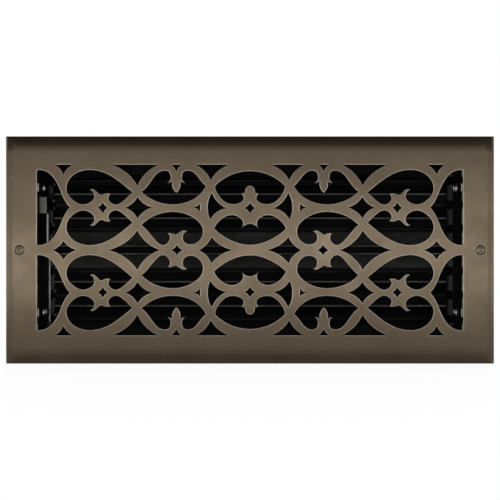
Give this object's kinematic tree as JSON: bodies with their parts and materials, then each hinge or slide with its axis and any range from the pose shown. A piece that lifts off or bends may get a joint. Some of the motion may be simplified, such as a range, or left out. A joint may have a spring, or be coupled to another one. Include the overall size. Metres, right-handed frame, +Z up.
{
  "type": "vent register",
  "caption": "Wall vent register with a cast scroll grille in a bevelled border, and an adjustable blade damper behind it.",
  "frame": {"origin": "middle of the plane where the plate's back rim meets the wall", "axes": "+X along the plate to the right seen from the room, +Y into the wall, +Z up"},
  "size_m": [0.292, 0.0384, 0.136],
  "materials": {
    "bronze": "oil-rubbed bronze, satin",
    "bronze_screw": "bronze plated, satin",
    "black_steel": "black enamel, semi-gloss",
    "blade_steel": "black enamel, semi-gloss",
    "lever_steel": "grey phosphated steel",
    "zinc": "bright zinc"
  },
  "bodies": {
    "register": {"faceplate": "bronze", "mounting_screws": "bronze_screw", "damper_screws": "zinc", "left_end_plate": "black_steel", "right_end_plate": "black_steel", "top_rail": "black_steel", "bottom_rail": "black_steel", "centre_rail": "black_steel", "frame_rivets": "black_steel"},
    "slide": {"slide_bar": "lever_steel"},
    "blade_1": {"blade_1": "blade_steel", "crank_1": "black_steel", "pivot_1": "black_steel"},
    "blade_2": {"blade_2": "blade_steel", "crank_2": "black_steel", "pivot_2": "black_steel"},
    "blade_3": {"blade_3": "blade_steel", "crank_3": "black_steel", "pivot_3": "black_steel"},
    "blade_4": {"blade_4": "blade_steel", "crank_4": "black_steel", "pivot_4": "black_steel"},
    "blade_5": {"blade_5": "blade_steel", "crank_5": "black_steel", "pivot_5": "black_steel"},
    "blade_6": {"blade_6": "blade_steel", "crank_6": "black_steel", "pivot_6": "black_steel"}
  },
  "joints": [
    {"name": "lever_slide", "type": "slide", "parent": "register", "child": "slide", "axis": [0, 0, 1], "range_m": [-0.00541, 0.00216]},
    {"name": "blade_1_turn", "type": "hinge", "parent": "register", "child": "blade_1", "pos_m": [0, 0.0155, 0.0131], "axis": [1, 0, 0], "range_deg": [-22, 55]},
    {"name": "blade_2_turn", "type": "hinge", "parent": "register", "child": "blade_2", "pos_m": [0, 0.0155, 0.0279], "axis": [1, 0, 0], "range_deg": [-22, 55]},
    {"name": "blade_3_turn", "type": "hinge", "parent": "register", "child": "blade_3", "pos_m": [0, 0.0155, 0.0427], "axis": [1, 0, 0], "range_deg": [-22, 55]},
    {"name": "blade_4_turn", "type": "hinge", "parent": "register", "child": "blade_4", "pos_m": [0, 0.0155, -0.0131], "axis": [1, 0, 0], "range_deg": [-55, 22]},
    {"name": "blade_5_turn", "type": "hinge", "parent": "register", "child": "blade_5", "pos_m": [0, 0.0155, -0.0279], "axis": [1, 0, 0], "range_deg": [-55, 22]},
    {"name": "blade_6_turn", "type": "hinge", "parent": "register", "child": "blade_6", "pos_m": [0, 0.0155, -0.0427], "axis": [1, 0, 0], "range_deg": [-55, 22]}
  ],
  "couplings": [
    {"joint": "blade_1_turn", "follows": "lever_slide", "rad_per_m": -177.31},
    {"joint": "blade_2_turn", "follows": "lever_slide", "rad_per_m": -177.31},
    {"joint": "blade_3_turn", "follows": "lever_slide", "rad_per_m": -177.31},
    {"joint": "blade_4_turn", "follows": "lever_slide", "rad_per_m": 177.31},
    {"joint": "blade_5_turn", "follows": "lever_slide", "rad_per_m": 177.31},
    {"joint": "blade_6_turn", "follows": "lever_slide", "rad_per_m": 177.31}
  ]
}
